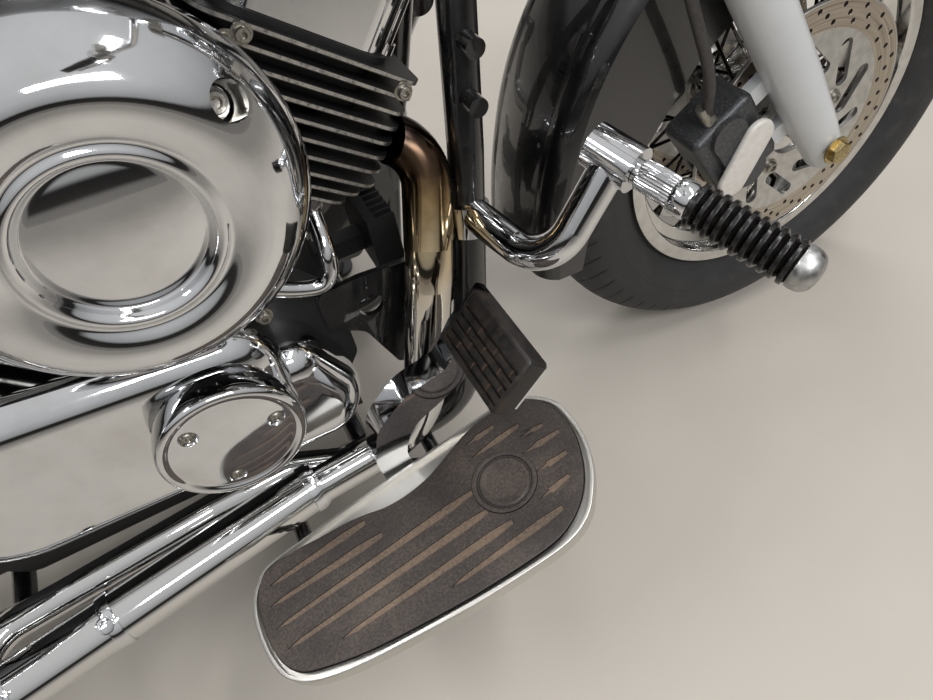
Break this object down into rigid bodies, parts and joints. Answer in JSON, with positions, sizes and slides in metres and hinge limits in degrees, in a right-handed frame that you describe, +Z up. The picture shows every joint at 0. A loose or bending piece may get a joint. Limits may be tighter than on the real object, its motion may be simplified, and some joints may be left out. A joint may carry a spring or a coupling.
{
  "type": "cruiser motorcycle",
  "caption": "Cruiser motorcycle with an air-cooled V-twin engine, wire-spoked wheels, footboards and slash-cut mufflers, leaning on its side stand.",
  "frame": {"origin": "middle of the overall box's underside, on the floor between the wheels", "axes": "+X forwards along the motorcycle, +Y to its left (the side it leans to), +Z up; the machine leans 10 degrees about X"},
  "size_m": [2.3536, 0.9622, 1.242],
  "materials": {
    "black_paint": "gloss",
    "black_engine": "satin",
    "chrome": "polished",
    "aluminium": "satin",
    "steel": "brushed",
    "rubber": "matte",
    "tyre": "matte",
    "leather": "satin",
    "lens": "clear",
    "red_lens": "gloss"
  },
  "bodies": {
    "chassis": {"frame": "black_paint", "swingarm": "black_paint", "final_drive": "aluminium", "rear_axle": "steel", "crankcase": "black_engine", "clutch_cover": "chrome", "crank_cover": "chrome", "left_cover": "chrome", "front_cylinder": "black_engine", "rear_cylinder": "black_engine", "front_rocker_cover": "chrome", "rear_rocker_cover": "chrome", "air_cleaner": "chrome", "carburettors": "black_engine", "front_exhaust": "chrome", "rear_exhaust": "chrome", "fuel_tank": "black_paint", "tank_console": "chrome", "rider_seat": "leather", "passenger_seat": "leather", "rear_fender": "black_paint", "fender_rails": "chrome", "tail_light": "red_lens", "side_covers": "black_paint", "footboards": "aluminium", "footboard_pads": "rubber", "brake_pedal": "chrome", "brake_pedal_pad": "rubber", "shift_lever": "chrome", "highway_bars": "chrome", "highway_peg_rubbers": "rubber", "passenger_pegs": "chrome", "rectifier": "black_engine", "rear_caliper": "black_paint", "battery_box": "black_engine"},
    "steering": {"fork_lowers": "aluminium", "fork_tubes": "chrome", "triple_clamps": "aluminium", "handlebar": "chrome", "grips": "rubber", "controls": "aluminium", "mirrors": "chrome", "headlight": "chrome", "headlight_lens": "lens", "front_fender": "black_paint", "front_axle": "steel", "front_calipers": "aluminium", "brake_hoses": "rubber"},
    "front_wheel": {"front_tyre": "tyre", "front_wheel": "aluminium", "front_discs": "steel"},
    "rear_wheel": {"rear_tyre": "tyre", "rear_wheel": "aluminium", "rear_disc": "steel"},
    "side_stand": {"side_stand": "steel"}
  },
  "joints": [
    {"name": "steering", "type": "hinge", "parent": "chassis", "child": "steering", "pos_m": [0.47454, -0.01773, 0.78446], "axis": [-0.5446, 0.1456, 0.8259], "range_deg": [-38, 38]},
    {"name": "front_wheel_spin", "type": "hinge", "parent": "steering", "child": "front_wheel", "pos_m": [0.85688, -0.0997, 0.31963], "axis": [0, 0.9848, -0.1736], "continuous": true},
    {"name": "rear_wheel_spin", "type": "hinge", "parent": "chassis", "child": "rear_wheel", "pos_m": [-0.78312, -0.09865, 0.32554], "axis": [0, 0.9848, -0.1736], "continuous": true},
    {"name": "side_stand_fold", "type": "hinge", "parent": "chassis", "child": "side_stand", "pos_m": [0.22687, 0.01654, 0.12651], "axis": [0.0268, 0.5923, 0.8053], "range_deg": [0, 100]}
  ]
}
